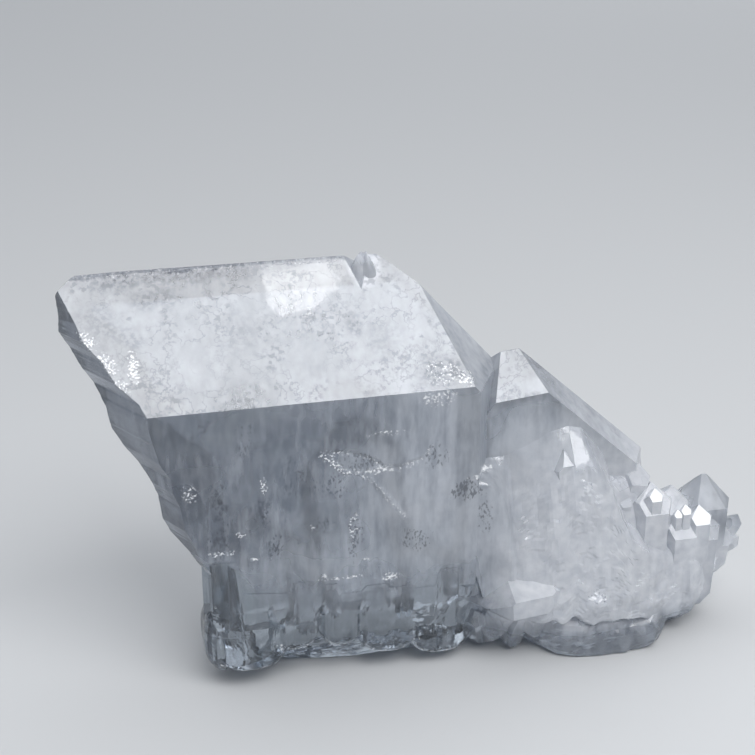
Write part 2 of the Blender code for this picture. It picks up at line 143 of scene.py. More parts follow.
# --- spots in the quartz, mm
# Dark clouds of specks behind the front face
SPECKS = (
    Spot(-13.3, 30.3, 1.2, 3.4, 1.0), Spot(-7.6, 29.8, 1.1, 2.4, 0.9), Spot(-14.0, 24.9, 1.7, 1.8, 1.0),
    Spot(1.2, 26.2, 1.3, 1.4, 0.8), Spot(5.9, 24.0, 1.0, 3.6, 0.9), Spot(-5.8, 23.2, 1.4, 1.9, 0.8),
    Spot(-15.4, 42.4, 1.5, 1.8, 0.4), Spot(-9.8, 40.6, 1.7, 2.8, 0.4), Spot(17.8, 34.8, 1.6, 1.9, 0.6),
    Spot(22.2, 29.2, 2.4, 1.8, 1.0), Spot(25.0, 24.4, 1.2, 2.6, 0.5), Spot(6.2, 35.2, 3.4, 1.6, 0.6),
    Spot(2.4, 31.8, 2.2, 2.6, 0.4), Spot(-3.4, 34.0, 2.0, 3.0, 0.3), Spot(14.5, 22.0, 2.6, 2.2, 0.4),
)
# Painted glints: white spots where little veils and ledges behind the front face catch the light
PAINTED_GLINTS = (
    Spot(-7.2, 33.0, 0.5, 1.3, 0.6), Spot(-8.9, 21.7, 0.8, 0.25, 1.0), Spot(1.3, 17.6, 0.6, 0.35, 1.0),
    Spot(7.4, 19.6, 0.6, 0.25, 1.0), Spot(11.0, 16.2, 1.4, 0.5, 1.0), Spot(-0.5, 25.8, 0.8, 0.6, 0.5),
    Spot(17.8, 43.6, 2.6, 1.1, 0.7), Spot(25.4, 30.8, 3.2, 0.45, 1.0), Spot(-10.4, 25.8, 1.0, 0.7, 0.35),
    Spot(-13.5, 23.2, 2.2, 0.3, 0.8), Spot(10.7, 39.2, 3.6, 0.25, 0.5), Spot(5.6, 25.0, 0.9, 3.0, 0.3),
    Spot(9.0, 33.6, 3.2, 0.5, 0.7), Spot(-17.4, 33.0, 1.2, 1.5, 0.35), Spot(3.4, 17.0, 3.4, 0.25, 0.7),
)
# Frosted chips on the big sloping face
CHIPS = (
    Spot(-23.5, 50.6, 0.7, 1.6, 1.0), Spot(-27.0, 50.9, 1.5, 1.2, 0.8), Spot(-29.6, 53.6, 1.5, 1.4, 0.8),
    Spot(-25.6, 48.2, 1.2, 1.2, 0.7), Spot(18.5, 47.0, 2.4, 1.5, 0.35), Spot(22.2, 45.9, 1.5, 0.8, 0.9),
)
# Patches of it that the etching has dulled
DULLED = (
    Spot(18.6, 47.2, 4.2, 2.2, 1.0), Spot(7.2, 53.1, 1.4, 1.6, 0.8), Spot(-16.4, 60.4, 15.0, 1.0, 0.8),
    Spot(-23.4, 53.8, 2.0, 1.7, 0.6), Spot(-8.6, 53.4, 3.6, 2.6, 0.5), Spot(-20.0, 58.0, 4.2, 1.3, 0.8),
    Spot(-24.4, 60.0, 4.4, 1.6, 1.0), Spot(-27.0, 55.5, 3.4, 2.4, 0.6), Spot(11.0, 52.0, 3.0, 3.0, 0.4),
)
# Little facets with a painted highlight that makes them glitter, on the milky lobe and at the right-hand end
PAINTED_GLITTER = (
    Spot(38.4, 28.4, 2.4, 2.0, 1.0), Spot(52.2, 24.0, 1.1, 1.0, 1.0), Spot(56.4, 20.1, 0.9, 0.8, 1.0),
    Spot(57.7, 20.6, 0.9, 0.8, 1.0), Spot(60.2, 19.4, 1.2, 1.1, 1.0),
)

# --- colours, lights and camera
CLEAR_TINT = (0.62, 0.67, 0.71, 1)
DARK_HAZE = (0.225, 0.255, 0.31, 1)
LIGHT_HAZE = (0.62, 0.66, 0.72, 1)
DARK_MILK = (0.60, 0.63, 0.69, 1)
LIGHT_MILK = (0.88, 0.90, 0.94, 1)
FROST = (0.80, 0.83, 0.89, 1)
MOTTLE = (0.13, 0.16, 0.22, 1)
SPECK = (0.08, 0.09, 0.12, 1)
# white of the frosted chips, and the painted white of the glints and glittering facets
FROST_AND_HIGHLIGHT_WHITE = (0.97, 0.98, 1.0, 1)
INNER_TINT = (0.55, 0.60, 0.66, 1)
ABSORPTION = 32.0  # how dense the tint is, per metre
QUARTZ_IOR = 1.544
FLOOR_GREY = (0.62, 0.63, 0.64)
SURROUND_GREY = (0.36, 0.38, 0.42, 1)
SURROUND_STRENGTH = 0.5
# Each light's name, place and aim in metres, width and height, power in watts, and colour
LIGHTS = (
    ("softbox", (0.10, -0.31, 0.46), (-0.01, 0.0, 0.035), (0.38, 0.30), 2.0, (1, 1, 1)),
    ("window", (0.0603, -0.2391, 0.4310), (-0.0176, 0.0002, 0.0579), (0.034, 0.020), 0.011, (1, 1, 1)),
    ("overhead", (-0.30, 0.60, 2.60), (0, 0.3, 0.0), (3.0, 3.0), 38.0, (0.96, 0.98, 1.0)),
    ("back_fill", (0.75, 1.00, 0.55), (0, 0, 0.03), (1.3, 1.0), 3.0, (0.95, 0.97, 1.0)),
    ("side_fill", (-0.75, -0.15, 0.35), (0, 0, 0.03), (0.4, 0.5), 0.25, (0.93, 0.96, 1.0)),
)
CAMERA_PLACE = (-0.05136, -0.18145, 0.12074)
CAMERA_TURN = (67.5, 0, -13.7)  # degrees
LENS = 66.76
SENSOR_WIDTH = 36.0


# --- noise and easing
def value_noise(points, scale, seed):
    """Smooth random values from -1 to 1: a random number at each corner of a lattice, eased between them."""
    table = np.random.default_rng(seed).uniform(-1, 1, NOISE_TABLE)
    cell = np.asarray(points) / scale
    corner = np.floor(cell).astype(np.int64)
    part = cell - corner
    part = part * part * (3 - 2 * part)
    total = 0.0
    for step in product((0, 1), repeat=3):
        at = corner + step
        index = (at[..., 0] * HASH[0]) ^ (at[..., 1] * HASH[1]) ^ (at[..., 2] * HASH[2])
        weight = np.prod(np.where(np.array(step) == 1, part, 1 - part), axis=-1)
        total = total + table[index % NOISE_TABLE] * weight
    return total


def layered_noise(points, scale, seed, layers=3):
    """Value noise in layers, each half as wide and half as strong as the one before."""
    return sum(value_noise(points, scale / 2 ** layer, seed + layer) / 2 ** layer for layer in range(layers))


def eased(value, start, end):
    """0 before start, 1 after end, and a smooth rise between."""
    share = np.clip((value - start) / (end - start), 0, 1)
    return share * share * (3 - 2 * share)


def line_through(places, across):
    """The height at each X of a line through the given places."""
    return np.interp(across, *np.array(places).T)


def lesser(first, second, round_over):
    """The lesser of two heights, rounded over where they cross."""
    return 0.5 * (first + second - np.hypot(first - second, round_over))


# --- one crystal
def numbers(row, missing):
    """A row of six numbers, with another number for what is missing."""
    return np.array([missing if value is None else value for value in row], float)


def section_reach(heights, sides, caps, feet, trim=None):
    """How far each of the six sides stands from the axis at each height.

    It is the prism side's distance, or that of the sloping face over or under it where that is nearer, and
    never more than the sum of the two neighbouring sides' distances, where the side has just vanished.
    """
    level = heights[:, None]
    reach = np.minimum(sides + 0 * level, sides + (caps - level) * DRAW_IN)
    reach = np.minimum(reach, sides + (level - feet) * DRAW_IN)
    if trim is not None:
        reach = np.minimum(reach, trim(heights))
    for _ in range(4):
        reach = np.minimum(reach, np.roll(reach, 1, 1) + np.roll(reach, -1, 1))
    return reach


def width_left(reach):
    """The least distance between opposite sides of each section: nothing at a ridge or a tip."""
    return (reach[:, :3] + reach[:, 3:]).min(axis=1)


def end_heights(sides, caps, feet, trim, limits, least_width=0.12):
    """The heights between which the crystal has any width, looking from the middle of limits both ways."""
    heights = np.linspace(limits[0], limits[1], 4001)
    solid = width_left(section_reach(heights, sides, caps, feet, trim)) > least_width
    gaps = np.flatnonzero(~solid)
    above = gaps[gaps > len(heights) // 2]
    below = gaps[gaps < len(heights) // 2]
    return heights[below[-1] + 1 if len(below) else 0], heights[above[0] - 1 if len(above) else -1]


def spread(start, end, marks, step, least_gap=0.05):
    """Heights from start to end no further apart than step, which include each mark."""
    fixed = np.unique(np.clip(np.concatenate(((start, end), marks)), start, end))
    fixed = fixed[np.concatenate(((True,), np.diff(fixed) > least_gap))]
    fixed[-1] = end
    parts = []
    for low, high in zip(fixed, fixed[1:]):
        parts.append(np.linspace(low, high, max(1, int(np.ceil((high - low) / step))), endpoint=False))
    return np.concatenate(parts + [(end,)])


def in_scene(name, data):
    """A new object of a mesh, a light or a camera, linked into the scene."""
    item = bpy.data.objects.new(name, data)
    bpy.context.scene.collection.objects.link(item)
    return item


def build(name, points, faces):
    """A mesh object from points in the design's millimetres, with doubles merged and its faces turned out."""
    mesh = bpy.data.meshes.new(name)
    mesh.from_pydata(((points - DESIGN_CENTRE) * MM).tolist(), [], faces)
    work = bmesh.new()
    work.from_mesh(mesh)
    bmesh.ops.remove_doubles(work, verts=work.verts, dist=DOUBLES)
    bmesh.ops.dissolve_degenerate(work, dist=SLIVERS, edges=work.edges)
    bmesh.ops.recalc_face_normals(work, faces=work.faces)
    if work.calc_volume(signed=True) < 0:
        bmesh.ops.reverse_faces(work, faces=work.faces)
    work.to_mesh(mesh)
    work.free()
    return in_scene(name, mesh)


def ring_faces(rows, columns):
    """Quads between the rows of a grid that goes round, and a face over each end."""
    row, column = np.meshgrid(np.arange(rows - 1) * columns, np.arange(columns), indexing="ij")
    after = (column + 1) % columns
    quads = np.stack((row + column, row + after, row + columns + after, row + columns + column), axis=-1)
    last = (rows - 1) * columns
    ends = [list(range(columns))[::-1], list(range(last, last + columns))]
    return quads.reshape(-1, 4).tolist() + ends


def leaned(points, place, lean):
    """Points of a crystal's own frame at its place; lean is degrees to the left, degrees back and a turn."""
    roll, pitch, turn = np.radians(lean)
    matrix = Matrix.Rotation(-roll, 3, "Y") @ Matrix.Rotation(-pitch, 3, "X") @ Matrix.Rotation(turn, 3, "Z")
    return points @ np.array(matrix).T + np.array(place)


def crystal(name, place, sides, caps, feet, lean=(0, 0, 0), step=1.2, front_step=None, limits=(-12, 12),
            trim=None, trim_marks=(), relief=None, nibble=None):
    """One crystal, as hexagonal sections stacked along its axis.

    The grid's two parameters are the height and the way round a section. Neighbouring sides of a section
    cross at its corners; the points between two corners are spaced evenly. The crystal's ends are looked for
    inside limits. trim draws its sides in by height. relief moves each point level outwards, by millimetres
    worked out from where it is and whether its face is upright, and nibble lowers points at the top.
    """
    sides = numbers(sides, 0)
    caps = numbers(caps, 1e6)
    feet = numbers(feet, -1e6)
    low, high = end_heights(sides, caps, feet, trim, limits)
    marks = np.concatenate((caps, feet, trim_marks))
    marks = marks[(marks > low + 0.1) & (marks < high - 0.1)]
    heights = spread(low, high, marks, front_step or step)
    reach = section_reach(heights, sides, caps, feet, trim)
    after = np.roll(reach, -1, 1)
    slide = (after - reach * np.cos(np.pi / 3)) / np.sin(np.pi / 3)
    ends = reach[..., None] * OUTWARD + slide[..., None] * ALONG          # the corner at the end of each side
    starts = np.roll(ends, 1, axis=1)
    length = np.linalg.norm(ends - starts, axis=2).max(axis=0)
    steps = np.append(front_step or step, np.full(5, step))
    counts = np.maximum(1, np.ceil(length / steps)).astype(int)
    steep = np.gradient(reach, heights, axis=0)
    rows, ways, upright = [], [], []
    for side, count in enumerate(counts):
        share = (np.arange(count) / count)[None, :, None]
        rows.append(starts[:, side, None] * (1 - share) + ends[:, side, None] * share)
        way = np.repeat(OUTWARD[side][None], count, axis=0)
        way[0] = (OUTWARD[side] + OUTWARD[side - 1]) / (2 * np.cos(np.pi / 6) ** 2)
        ways.append(way)
        is_upright = (np.abs(steep[:, side, None]) < UPRIGHT).astype(float)
        upright.append(np.repeat(is_upright, count, axis=1))
    flat = np.concatenate(rows, axis=1)
    levels = np.repeat(heights[:, None], flat.shape[1], axis=1)
    points = np.concatenate((flat, levels[..., None]), axis=2)
    if relief is not None:
        outwards = relief(points, np.concatenate(upright, axis=1))
        points[..., :2] += outwards[..., None] * np.concatenate(ways)[None]
    if nibble is not None:
        nibble(points, high)
    points = leaned(points.reshape(-1, 3), place, lean)
    return build(name, points, ring_faces(len(heights), flat.shape[1]))


def point(name, place, radius, height, foot, lean=(0, 0, 0)):
    """A plain crystal of one radius: its upper shoulders are at height over place, its lower ones at foot.

    Every other sloping face starts half a radius nearer the middle, and so it is larger.
    """
    caps = (height - 0.5 * radius, height) * 3
    feet = (foot, foot + 0.5 * radius) * 3
    return crystal(name, place, (radius,) * 6, caps, feet, lean, step=50.0, limits=(-12, 14))


def lump(name, place, radii, drop, seed, squareness=2.6, swell=0.06, step=1.0, rough=0.25):
    """A closed rounded mass: a squared ellipsoid that swells in a few smooth waves and in fine noise.

    The grid's two parameters are the angle up from the foot and the way round. drop is its radius downwards.
    """
    waves = np.random.default_rng(seed).uniform(0, 2 * np.pi, 4)
    rings = max(8, int(np.pi * max(radii) / step / 1.6))
    columns = max(14, int(2 * np.pi * max(radii[:2]) / step / 1.4))
    up = np.linspace(0, np.pi, rings + 1)[1:-1, None]
    bearing = np.linspace(0, 2 * np.pi, columns, endpoint=False)[None, :]
    way = (np.sin(up) * np.cos(bearing), np.sin(up) * np.sin(bearing), -np.cos(up))
    way = np.stack(np.broadcast_arrays(*way), axis=-1)
    size = (np.abs(way) ** squareness).sum(axis=-1) ** (-1 / squareness)
    size = size * (1 + swell * np.sin(3 * bearing + waves[0]) * np.sin(up + waves[1]))
    size = size * (1 + swell / 2 * np.sin(5 * bearing + waves[2]) * np.sin(4 * up + waves[3]))
    upright = np.where(up < np.pi / 2, drop, radii[2])
    scale = np.stack(np.broadcast_arrays(radii[0], radii[1], upright), axis=-1)
    points = way * scale * size[..., None]
    points += way * layered_noise(points + seed, 3.2, seed)[..., None] * rough
    points = points.reshape(-1, 3) + np.array(place)
    return build(name, points, ring_faces(rings - 1, columns))


# --- the main crystal
def left_flank(heights):
    """The reach of the main crystal's two left sides, which step in as they go down.

    The steps run straight between the listed heights; finer ones, of uneven height and depth, are taken off.
    """
    along = np.stack((heights, 0 * heights, 0 * heights), axis=1)
    fine = FLANK_STEP * np.round(2.2 * value_noise(along, 4.3, seed=41) + 2.2) / 4.4
    fine = fine + 0.03 * value_noise(along, 0.9, seed=42)
    reach = np.full((len(heights), 6), np.inf)
    reach[:, 5] = np.interp(heights, LEFT_FLANK[:, 0], LEFT_FLANK[:, 1]) - fine
    reach[:, 4] = np.interp(heights, LEFT_FLANK[:, 0], LEFT_FLANK[:, 2]) - 1.3 * fine
    return reach


def line_distance(points, line):
    """The distance of each point, as X and Z, from a line through the given places."""
    spot = points[..., (0, 2)]
    nearest = np.full(spot.shape[:-1], np.inf)
    for start, end in zip(line, line[1:]):
        start, end = np.array(start), np.array(end)
        way = end - start
        along = np.clip(((spot - start) @ way) / (way @ way), 0, 1)
        nearest = np.minimum(nearest, np.linalg.norm(spot - start - along[..., None] * way, axis=-1))
    return nearest


def big_face_relief(points, upright):
    """Level hairline steps on the upright faces, faint hillocks on the sloping ones, and slow waves on both.

    On the front face a healed crack shows as a groove along its upper edge and a lip along its lower one.
    """
    stretched = points * (0.12, 0.12, 1.0)
    lines = value_noise(stretched, 0.55, seed=11) * HAIRLINE
    lines = lines + value_noise(stretched, 1.7, seed=12) * FAINT_STEP
    hillocks = np.round(layered_noise(points, 5.0, seed=13) * 5) / 5 * HILLOCK
    slow = value_noise(points, 9.0, seed=14) * SLOW_WAVE
    front = points[..., 1] < 1.0
    uneven = 0.6 + 0.4 * value_noise(points, 1.2, seed=15)
    lip = LIP_HEIGHT * uneven * np.exp(-(line_distance(points, CRACK_LOWER) / LIP_WIDTH) ** 2)
    groove = GROOVE_DEPTH * uneven * np.exp(-(line_distance(points, CRACK_UPPER) / GROOVE_WIDTH) ** 2)
    upright_relief = upright * (lines + front * (lip - groove))
    return upright_relief + (1 - upright) * hillocks + slow * (0.2 + 0.8 * upright)


def ragged(points, top):
    """The top ridge, nibbled down by small and large bites: two noises that run along it."""
    along = points * (1, 0, 0)
    small = np.abs(value_noise(along, 0.9, seed=51)) * SMALL_BITE
    large = np.abs(value_noise(along, 4.0, seed=52)) * LARGE_BITE
    points[..., 2] -= (small + large) * eased(points[..., 2], top - RIDGE_BAND, top)


def notch_cutter():
    """A three-sided prism whose lower edge is the notch's bottom line and two of its sides are its faces."""
    normals, offsets = [], []
    for turn, side, shoulder in NOTCH:
        normals.append(np.append(OUTWARD[turn] * np.sin(INCLINE), np.cos(INCLINE)))
        offsets.append(normals[-1] @ np.append(OUTWARD[turn] * side, shoulder))
    line = np.cross(*normals)
    bottom = np.linalg.solve(np.array(normals + [(0, 1, 0)]), np.array(offsets + [NOTCH_MIDDLE]))
    rise = [np.cross(normal, line) for normal in normals]
    rise = [way * np.sign(way[2]) / np.linalg.norm(way) for way in rise]
    section = np.array((bottom, bottom + NOTCH_REACH * rise[0], bottom + NOTCH_REACH * rise[1]))
    points = np.concatenate((section - NOTCH_REACH * line, section + NOTCH_REACH * line))
    return build("notch", points, ring_faces(2, 3))


# --- the milky front and the stubs' front
def curtain(name, across, top, foot, forward, back, rows):
    """A closed body whose front is a surface over X and height, with a flat back.

    across holds the columns' X. Each column's heights run from its foot to its top in equal steps, and
    forward gives how far the front stands out, towards -Y, at an X and a height. back is the Y of its back.
    """
    columns = len(across)
    up = foot + np.linspace(0, 1, rows)[:, None] * (top - foot)
    across = np.broadcast_to(across, up.shape)
    front = np.stack((across, -forward(across, up), up), axis=-1).reshape(-1, 3)
    behind = front * (1, 0, 1) + (0, back, 0)
    row, column = np.meshgrid(np.arange(rows - 1) * columns, np.arange(columns - 1), indexing="ij")
    start = (row + column).ravel()
    quads = np.stack((start, start + 1, start + columns + 1, start + columns), axis=1)
    edge = np.concatenate((np.arange(columns), np.arange(2 * columns - 1, rows * columns, columns),
                           np.arange(rows * columns - 2, (rows - 1) * columns - 1, -1),
                           np.arange((rows - 2) * columns, 0, -columns)))
    after = np.roll(edge, -1)
    second = rows * columns
    walls = np.stack((after, edge, edge + second, after + second), axis=1)
    faces = quads.tolist() + (quads[:, ::-1] + second).tolist() + walls.tolist()
    return build(name, np.concatenate((front, behind)), faces)


def milky_foot(across):
    """The scalloped lower edge of the milky mass."""
    along = np.stack((across,) * 3, axis=-1) * (1, 0, 0)
    return line_through(MILKY_RIM, across) - 1.0 + 0.6 * value_noise(along, 1.6, seed=61)


def milky_form(across, up):
    """How far the milky mass stands forward, without its grain.

    It follows one profile down its height, which is drawn back towards the main crystal's front at its left
    and towards the ribbed end at its right. A shoulder draws it back under its top line, a rounded lobe
    stands on its upper right, and an undercut draws it back again over its scalloped foot.
    """
    profile = line_through(MILKY_PROFILE, up) * eased(across, 23.5, 35.0) + 0.15
    forward = profile - 0.2 + 0.2 * eased(across, 23.2, 26.0) - 3.4 * eased(across, 46.0, 58.0)
    forward -= 2.6 * eased(across, 58.5, 65.0)
    steep = 0.35 + 0.65 * eased(across, 32.0, 43.0) + 1.0 * eased(across, 44.0, 48.0)
    steep = steep + 1.8 * (1 - eased(across, 24.5, 30.0))
    forward = lesser(forward, (line_through(MILKY_TOP, across) - up) * steep - TOP_DEPTH, 1.0)
    lobe = np.hypot((across - MILKY_LOBE[0]) / 4.4, (up - MILKY_LOBE[1]) / 6.0)
    forward += LOBE_HEIGHT * (1 - eased(lobe, 0.2, 1.3))
    foot = milky_foot(across)
    return forward - 2.4 * (1 - eased(up, foot, foot + 1.7))


def ribs(across, spot):
    """Upright ribs, coarse and fine, which grow towards the milky mass's right end."""
    coarse = RIB * value_noise(spot * (1, 0, 0.12), 1.5, seed=62)
    fine = FINE_RIB * value_noise(spot * (1, 0, 0.20), 0.8, seed=63)
    return eased(across, 40.0, 50.0) * (coarse + fine)


def terraces(across, up, spot):
    """Low terraces with steep edges, which fade towards the milky mass's top line and its left end."""
    steps = np.round(2.5 * layered_noise(spot * (1, 0, 0.5), 2.4, 67, 2)) / 2.5
    under_top = line_through(MILKY_TOP, across) - up
    return TERRACE * eased(across, 27.0, 33.0) * eased(under_top, 2.0, 8.0) * steps


def rim_lip(across, up, spot):
    """A knobbly lip over the milky mass's foot, with an uneven upper edge."""
    along = spot * (1, 0, 0)
    edge = up - 1.2 * value_noise(along, 3.0, seed=66)
    lip = np.maximum(value_noise(along, 1.9, seed=65) + 0.3, 0) * (1 - eased(edge, 9.0, 10.2))
    return RIM_LIP * eased(across, 34.0, 38.0) * lip * (1 - eased(across, 52.0, 57.0))


def milky_forward(across, up):
    """How far the milky mass stands forward: its form with ribs, terraces, a lip, knobs and fine noise."""
    spot = np.stack((across, 0 * across, up), axis=-1)
    forward = milky_form(across, up)
    forward += ribs(across, spot)
    forward += terraces(across, up, spot)
    forward += rim_lip(across, up, spot)
    for knob in KNOBS:
        away = ((across - knob.x) / knob.wide) ** 2 + ((up - knob.z) / knob.high) ** 2
        forward += knob.strength * np.exp(-away)
    forward = forward + 0.12 * eased(across, 23.6, 27.0) * layered_noise(spot, 4.5, seed=64)
    return np.maximum(forward, DEEPEST_MILKY)


def aside(across, stub):
    """How far to a stub's side each X is: 0 in its middle and 1 at its ends."""
    return np.abs(across - (stub.left + stub.right) / 2) / ((stub.right - stub.left) / 2)


def stub_rim(across, stub):
    """The height of a stub's lower edge at each X: it hangs down in the middle."""
    return stub.foot + STUB_SWEEP * aside(across, stub) ** 3


def stub_foot(across):
    """The lower edge of all the stubs, which ends where they go into the main crystal's front."""
    return np.minimum(np.min([stub_rim(across, stub) for stub in STUBS], axis=0), 15.0)


def stub_forward(across, up):
    """How far the stubs' front stands forward: flat, drawn back at each stub's sides and lower end."""
    spot = np.stack((across, 0 * across, up), axis=-1)
    hidden = -9.0
    low = 1 - eased(up, 9.5, 13.4)
    deep = np.full(across.shape, hidden)
    for stub in STUBS:
        side = aside(across, stub)
        face = 0.16 - 0.76 * eased(across, 21.0, 23.0) + low * (stub.forward - 1.6 * np.clip(side, 0, 1) ** 6)
        face -= 1.8 * np.clip((stub_rim(across, stub) + 1.4 - up) / 1.4, 0, 1) ** 2
        face = face - 12 * low * np.clip(side - 0.96, 0, 1)
        deep = np.maximum(deep, np.where(side < 1.25, face, hidden))
    groove = 0.08 * value_noise(spot * (1, 0, 0.2), 0.9, seed=71) + 0.12 * layered_noise(spot, 3.0, seed=72)
    groove = groove * (1 - eased(up, 10.5, 13.0))
    return np.maximum(deep + groove, DEEPEST_STUB)


# --- the pieces, before they are joined
def druse(name, start, end, count, radii, rolls, pitches, seed):
    """A row of little crystals between two places, with sizes and leans drawn between given limits."""
    draw = np.random.default_rng(seed)
    start, end = np.array(start), np.array(end)
    made = []
    for number in range(count):
        along = (number + 0.5 + draw.uniform(-0.3, 0.3)) / count
        place = start + (end - start) * along + draw.uniform(-0.5, 0.5, 3)
        radius = draw.uniform(*radii)
        height = radius * draw.uniform(1.4, 2.4)
        lean = (draw.uniform(*rolls), draw.uniform(*pitches), draw.uniform(-12, 12))
        made.append(point(f"{name}_{number}", place, radius, height, -2.0 * radius, lean))
    return made


def large_crystals():
    """The main crystal with its parallel part, and the second one to its right."""
    return [
        crystal("main", (0, 0, 0), MAIN_SIDES, MAIN_CAPS, MAIN_FEET, step=0.7, front_step=0.35,
                limits=(6, 75), trim=left_flank, trim_marks=LEFT_FLANK[:, 0], relief=big_face_relief,
                nibble=ragged),
        crystal("second", (31.5, 4.2, 40.4), lean=(6, 0, 0),
                sides=(0.0, 15.0, 19.7, 13.0, 9.0, 7.0), caps=(0.2, -14.35, -14.4, -4.7, 0.0, -4.4),
                feet=(None, -31, -31, -33, None, None), step=0.9, limits=(-45, 12), relief=big_face_relief),
    ]


def front_masses():
    """The milky mass with its front, plate, facet and foot, the tip in the notch, and the stubs' front."""
    milky = np.arange(23.2, 64.4, 0.45)
    stubs = np.arange(-15.0, 30.01, 0.4)
    return [
        lump("milky_mass", (39.5, 7.6, 12.0), (16.5, 7.4, 17.0), drop=9.0, seed=4, squareness=2.4, step=0.8),
        lump("notch_tip", (9.9, 12.2, 56.4), (2.2, 1.9, 5.0), drop=5.0, seed=7, squareness=1.9, swell=0.14,
             step=0.4, rough=0.2),
        curtain("milky_front", milky, line_through(MILKY_TOP, milky), milky_foot(milky), milky_forward,
                back=8.0, rows=76),
        curtain("stub_front", stubs, line_through(STUB_TOP, stubs), stub_foot(stubs), stub_forward,
                back=6.0, rows=36),
        crystal("milky_plate", (31.4, 1.4, 10.9), lean=(95, 0, 0), sides=(6.0, 4.0, 4.2, 5.0, 4.5, 4.5),
                caps=(3.0, 2.6, 3.0, 3.0, 3.0, 3.2), feet=(-3.2, -3.8, -3.0, -3.0, -3.0, -2.4)),
        crystal("lobe_facet", (38.4, 3.2, 27.2), lean=(5, 0, 0), sides=(2.5, 2.6, 3.0, 3.0, 3.0, 2.7),
                caps=(3.3, 2.2, 3.0, 3.0, 3.0, 2.6), feet=(-3.0,) * 6),
        lump("milky_foot", (44.6, 5.6, 2.4), (11.6, 9.5, 5.4), drop=6.0, seed=9, swell=0.10, step=0.7,
             rough=0.7),
    ]


def right_end():
    """The crystals that stand on the milky mass's right end, with a clear one and four whose facets carry a
    painted highlight.
    """
    return [
        point("end_first", (52.4, 3.2, 14.0), 3.2, 8.6, -12.5),
        point("end_second", (56.0, 4.6, 14.0), 2.9, 7.2, -11.5, (-3, 0, 0)),
        point("end_third", (57.4, 2.9, 12.0), 3.0, 5.8, -9.5),
        point("end_fourth", (60.9, 4.1, 10.5), 3.5, 6.4, -6.5, (-2, 0, 0)),
        crystal("end_clear", (62.8, 6.2, 14.0), sides=(3.6, 4.0, 4.1, 3.8, 4.0, 4.2), limits=(-14, 15),
                caps=(5.2, 4.9, 5.0, 5.0, 5.6, 5.0), feet=(-5.0, -1.0, -1.0, -5.0, -5.0, -5.0)),
        point("end_right", (64.6, 5.6, 11.0), 2.8, 3.0, -3.0, (-8, 0, 0)),
        point("end_spike", (67.4, 6.6, 12.0), 1.3, 3.2, -3.0, (-30, 0, 0)),
        point("end_low", (60.8, 5.4, 6.4), 3.9, 5.0, -2.6, (-10, 0, 0)),
        point("end_under", (56.6, 5.8, 4.0), 4.2, 5.0, -3.0, (-8, 0, 0)),
        point("second_spur", (49.6, 5.0, 20.0), 2.2, 6.0, -4.0, (-10, 0, 0)),
        point("spark_first", (52.2, 1.4, 20.0), 1.3, 3.9, -3.0),
        point("spark_second", (56.4, 1.6, 17.0), 0.8, 3.0, -3.0),
        point("spark_third", (57.7, 1.8, 17.2), 1.0, 3.3, -3.0),
        point("spark_fourth", (60.2, 2.2, 14.0), 2.0, 5.2, -3.0),
    ]


def lower_stubs():
    """The stubs behind their curtain, and the root that joins them under the main crystal."""
    return [
        crystal("stub_far_left", (-9.5, 7.0, 10.0), lean=(0, 0, 4), sides=(6.2, 3.0, 7.0, 6.5, 4.8, 6.3),
                caps=(12.0, 3.0, 8.0, 9.0, 9.0, 11.0), feet=(-2.0, -4.0, -6.5, -6.0, -5.0, -5.0),
                limits=(-20, 20)),
        lump("stub_heel", (-13.0, 5.4, 7.0), (3.3, 4.6, 5.6), drop=5.0, seed=12, step=0.6, rough=0.1),
        point("stub_small", (27.6, 3.8, 6.0), 3.6, 6.0, -3.4, (-12, 0, 0)),
        point("stub_last", (33.2, 1.8, 6.0), 2.8, 6.0, -3.0, (4, 0, 0)),
        lump("root", (14.0, 11.0, 6.0), (24.5, 7.4, 8.6), drop=8.0, seed=2, step=0.9),
    ]


def back_crystals():
    """Three stout crystals on the back, and three smaller ones at their feet."""
    stout = (
        ("back_tall", (9.0, 18.0, 20.0), (6.0, 7.5, 7.0, 6.0, 8.0, 7.0),
         (8.0, 9.0, 12.0, 10.5, 9.0, 12.0), (-9.0, -9.0, -9.0, -6.0, -8.0, -7.0), (3, 4, 0)),
        ("back_left", (-6.0, 15.5, 12.0), (6.0, 6.0, 6.0, 6.0, 6.4, 6.0),
         (8.0, 9.0, 6.0, 7.0, 9.0, 6.0), (-7.0, -8.0, -8.0, -5.0, -6.0, -5.0), (5, 8, 0)),
        ("back_right", (31.0, 15.5, 14.0), (6.0, 7.5, 7.0, 6.5, 7.0, 7.0),
         (8.0, 6.0, 7.0, 9.0, 6.0, 12.0), (-9.0, -9.0, -9.0, -7.0, -8.0, -7.0), (-4, 5, 0)),
    )
    return [crystal(*row, limits=(-25, 25)) for row in stout] + [
        point("back_low", (20.0, 18.5, 7.0), 4.6, 6.0, -4.0, (4, 12, 0)),
        point("back_small", (1.5, 19.5, 6.0), 3.4, 5.0, -3.4, (6, 14, 0)),
        point("back_end", (47.0, 13.5, 9.0), 4.6, 8.0, -5.0, (-8, 9, 0)),
    ]


